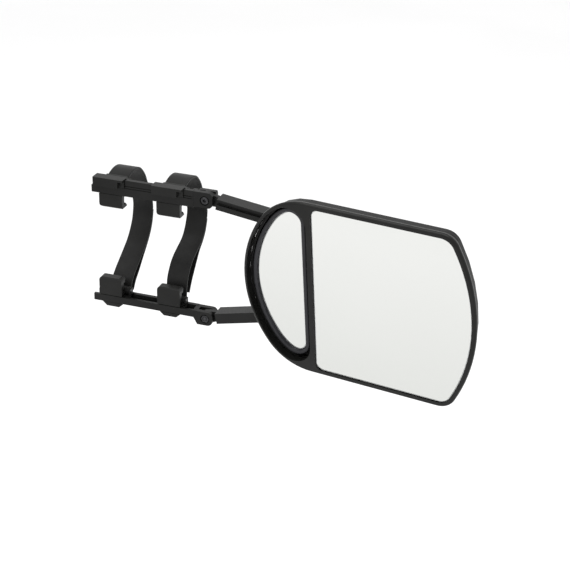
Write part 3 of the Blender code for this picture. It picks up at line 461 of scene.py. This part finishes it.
def applied(made):
    """Bakes the modifiers, splits the many-sided faces and removes the helpers they used."""
    graph = bpy.context.evaluated_depsgraph_get()
    helpers = [step.object for step in made.modifiers if step.type == "BOOLEAN"]
    data = bpy.data.meshes.new_from_object(made.evaluated_get(graph))
    made.modifiers.clear()
    made.data = data
    mesh = bmesh.new()
    mesh.from_mesh(data)
    bmesh.ops.triangulate(mesh, faces=[face for face in mesh.faces if len(face.verts) > 4])
    mesh.to_mesh(data)
    mesh.free()
    for helper in helpers:
        bpy.data.objects.remove(helper, do_unlink=True)
    return made


def carve(made, name, outline, front, inset):
    """Cuts an outline out of a piece, from a depth of front to beyond its back."""
    step = made.modifiers.new("carve", "BOOLEAN")
    step.operation = "DIFFERENCE"
    step.solver = "EXACT"
    step.object = loft(name, outline, ((front, inset), (CUTTER_BACK, inset)))


def front_bezel():
    """The head's front frame, with both openings and the rebate that holds the main glass."""
    made = loft("front_bezel_visual", head_outline, BEZEL_EDGE)
    carve(made, "main_cutter", pane_outline, CUTTER_FRONT, 0.0)
    carve(made, "well_cutter", well_outline, CUTTER_FRONT, 0.0)
    carve(made, "rebate_cutter", pane_outline, REBATE_DEPTH, -REBATE_MARGIN)
    bevelled(applied(made), BEZEL_ROUNDING, segments=3, angle=32.0)
    worn_by(made, "front_bezel")


def glass(node, outline, rings):
    """A silvered pane, its rim ground."""
    made = loft(node + "_visual", outline, rings)
    made.data.materials.append(FINISH["mirror_glass"])
    made.data.materials.append(FINISH["ground_edge"])
    for face in made.data.polygons:
        face.material_index = int(len(face.vertices) == 4)
    worn_by(made, node)


def blind_spot_carrier():
    """The tray round the blind-spot glass."""
    made = loft("blind_spot_carrier_visual", well_outline, CARRIER_RINGS)
    for face in made.data.polygons:
        face.use_smooth = len(face.vertices) == 4
    worn_by(made, "blind_spot_carrier")


front_bezel()
glass("main_glass", pane_outline, MAIN_GLASS_RINGS)
blind_spot_carrier()
glass("blind_spot_glass", well_outline, SPOT_GLASS_RINGS)


# ---------------------------------------------------------------- straps


STRAP_WIDTH = 0.024
STRAP_ROUNDING = 0.0008
STRAP_FLAT_WITHIN = math.radians(0.3)
STRAP_RIM_ANGLE = math.radians(60)
SIDEWAYS = 0.9
BAND_CHAMFER = 0.45
PIN_GAP, LOOP_THICKNESS, LOOP_STEPS = 0.0002, 0.0022, 14
LAYER_THICKNESS = 0.0020
# The second rubber layer behind each strap, as a listed (Y, Z) route about the upper rail's pivot
BACK_LAYERS = {
    1: (
        (0.0800, -0.0560), (0.0762, -0.0700), (0.0690, -0.0820), (0.0580, -0.0935),
        (0.0463, -0.1043), (0.0376, -0.1129), (0.0282, -0.1210), (0.0217, -0.1300),
    ),
    2: (
        (0.0782, -0.0560), (0.0730, -0.0680), (0.0650, -0.0770), (0.0550, -0.0845),
        (0.0469, -0.0932), (0.0394, -0.1021), (0.0320, -0.1110), (0.0245, -0.1230),
    ),
}


def own_shape(node):
    """A strap's CAD shape with rounded edges, tied to no body yet."""
    mesh = bmesh.new()
    mesh.from_mesh(frame["nodes"][node].data)
    bmesh.ops.remove_doubles(mesh, verts=mesh.verts, dist=WELD)
    for way in (1, -1):
        side = [face for face in mesh.faces if face.normal.x * way > SIDEWAYS]
        bmesh.ops.dissolve_faces(mesh, faces=side)
    bmesh.ops.dissolve_limit(
        mesh, angle_limit=STRAP_FLAT_WITHIN, verts=mesh.verts, edges=mesh.edges, delimit=set()
    )
    rims = [edge for edge in mesh.edges if edge.calc_face_angle(0.0) > STRAP_RIM_ANGLE]
    bmesh.ops.bevel(mesh, geom=rims, offset=STRAP_ROUNDING, segments=3, profile=0.5, affect="EDGES")
    return of_rubber(node + "_visual", mesh_data(node + "_shape", mesh))


def of_rubber(name, data):
    """A piece of strap rubber, smoothly shaded."""
    data.shade_smooth()
    data.materials.append(FINISH["strap_rubber"])
    made = placed(name, data)
    weighted_normals(made)
    return made


def ribbon(name, route, low, high, thickness):
    """A flat band of rubber along a (Y, Z) route between two X, with chamfered long edges."""
    half = thickness / 2
    turn = half * BAND_CHAMFER
    profile = [
        (low + turn, -half), (high - turn, -half), (high, -half + turn), (high, half - turn),
        (high - turn, half), (low + turn, half), (low, half - turn), (low, -half + turn),
    ]
    rings = []
    for index, (y, z) in enumerate(route):
        before = route[max(index - 1, 0)]
        after = route[min(index + 1, len(route) - 1)]
        length = math.dist(before, after)
        across = (-(after[1] - before[1]) / length, (after[0] - before[0]) / length)
        rings.append([(x, y + across[0] * o, z + across[1] * o) for x, o in profile])
    return of_rubber(name, mesh_data(name, skinned(rings)))


def eased(points, steps=6):
    """A smooth (Y, Z) route through the points, by Catmull-Rom."""
    ends = [points[0], *points, points[-1]]
    line = []
    for stretch in zip(ends, ends[1:], ends[2:], ends[3:]):
        for step in range(steps):
            line.append(tuple(between(*values, step / steps) for values in zip(*stretch)))
    return [*line, points[-1]]


def between(p, q, r, s, t):
    """The value at t from q to r, with p before them and s after."""
    square, cube = 2 * p - 5 * q + 4 * r - s, 3 * q - p - 3 * r + s
    return 0.5 * (2 * q + (r - p) * t + square * t**2 + cube * t**3)


def loop_round(side, number, middle, start, sweep):
    """The strap's end wrapped round its pin. start and sweep are angles about the pin, from +Y."""
    low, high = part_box(f"{side}_strap_pin_{number}")
    radius = (high.z - low.z) / 2 + PIN_GAP + LOOP_THICKNESS / 2
    start, sweep = math.radians(start), math.radians(sweep)
    route = arc(((low.y + high.y) / 2, (low.z + high.z) / 2), radius, start, start + sweep, LOOP_STEPS)
    half = STRAP_WIDTH / 2
    name = f"strap_{number}_{side}_loop"
    made = ribbon(name, route, middle - half, middle + half, LOOP_THICKNESS)
    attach(made, f"{side}_hook_{number}")


def pin_centre(node):
    low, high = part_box(node)
    return (low + high) / 2


def strap(number):
    """One strap, its second layer and the loops round its pins."""
    above = pin_centre(f"upper_strap_pin_{number}")
    below = pin_centre(f"lower_strap_pin_{number}")
    made = own_shape(f"strap_{number}")
    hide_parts(f"strap_{number}")
    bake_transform(made)
    half = STRAP_WIDTH / 2
    route = [(UPPER_PIVOT.y + y, UPPER_PIVOT.z + z) for y, z in eased(BACK_LAYERS[number])]
    name = f"strap_{number}_back_layer"
    layer = ribbon(name, route, above.x - half, above.x + half, LAYER_THICKNESS)
    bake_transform(layer)
    loop_round("upper", number, above.x, start=-10.0, sweep=330.0)
    loop_round("lower", number, below.x, start=10.0, sweep=-330.0)


for number in (1, 2):
    strap(number)


# ---------------------------------------------------------------- floor, lights and camera


def flat_material(name, colour, roughness):
    """A plain matt surface, very slightly uneven in tone."""
    made = Nodes(name)
    dimmer = tuple(value * 0.985 for value in colour)
    tone = made.ramp(made.noise(1.5, 2.0), ((0.4, colour), (0.6, dimmer)))
    made.link(tone, made.shader.inputs["Base Color"])
    made.shader.inputs["Roughness"].default_value = roughness
    return made.material


def floor(height, size):
    """A square floor at this height."""
    data = bpy.data.meshes.new("floor")
    half = size / 2
    corners = [(-half, -half, height), (half, -half, height), (half, half, height), (-half, half, height)]
    data.from_pydata(corners, [], [(0, 1, 2, 3)])
    data.materials.append(flat_material("pale floor", (0.96, 0.96, 0.96), 0.8))
    placed("floor", data)


def softbox(name, place, aim, size, power):
    """A rectangular area light, pointed at aim."""
    data = bpy.data.lights.new(name, "AREA")
    data.shape = "RECTANGLE"
    data.size, data.size_y = size
    data.energy = power
    made = placed(name, data)
    made.location = place
    made.rotation_euler = (Vector(aim) - Vector(place)).to_track_quat("-Z", "Y").to_euler()


def camera(aim, azimuth, elevation, roll, distance, view_angle):
    """A camera looking at aim. Azimuth 0 looks along +Y, and roll turns the picture clockwise."""
    side, rise, turn = (math.radians(value) for value in (azimuth, elevation, roll))
    away = Vector((math.sin(side) * math.cos(rise), -math.cos(side) * math.cos(rise), math.sin(rise)))
    data = bpy.data.cameras.new("camera")
    data.angle = math.radians(view_angle)
    data.clip_end = 50.0
    made = placed("camera", data)
    made.location = Vector(aim) + away * distance
    facing = (-away).to_track_quat("-Z", "Y").to_matrix()
    made.rotation_euler = (facing @ Matrix.Rotation(-turn, 3, "Z")).to_euler()
    bpy.context.scene.camera = made


FLOOR_HEIGHT, FLOOR_SIZE = -0.75, 30.0
CAMERA_AZIMUTH, CAMERA_ELEVATION, CAMERA_ROLL = 18.06, 26.25, -1.49
CAMERA_DISTANCE, VIEW_ANGLE = 1.4714, 22.97
# Where the camera looks: from the upper screw's head in X and Y, and from half way between the rails in Z
AIM_RIGHT, AIM_FORWARD, AIM_DOWN = 0.09077, 0.0004, 0.01156

floor(FLOOR_HEIGHT, FLOOR_SIZE)
world = bpy.data.worlds.new("studio")
world.use_nodes = True
world.node_tree.nodes["Background"].inputs["Color"].default_value = (1.0, 1.0, 1.0, 1.0)
world.node_tree.nodes["Background"].inputs["Strength"].default_value = 1.0
bpy.context.scene.world = world
softbox("top light", (0.1, -0.2, 1.6), (0.1, 0.0, 0.0), (1.6, 1.2), 20.0)
softbox("front light", (-0.9, -1.8, 0.9), (0.1, 0.0, 0.0), (0.9, 0.9), 5.0)

low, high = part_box("upper_arm_pivot_screw")
middle_z = UPPER_PIVOT.z - RAIL_SPACING / 2
target = ((low.x + high.x) / 2 + AIM_RIGHT, low.y - AIM_FORWARD, middle_z - AIM_DOWN)
camera(target, CAMERA_AZIMUTH, CAMERA_ELEVATION, CAMERA_ROLL, CAMERA_DISTANCE, VIEW_ANGLE)
bpy.context.scene.view_settings.view_transform = "Standard"
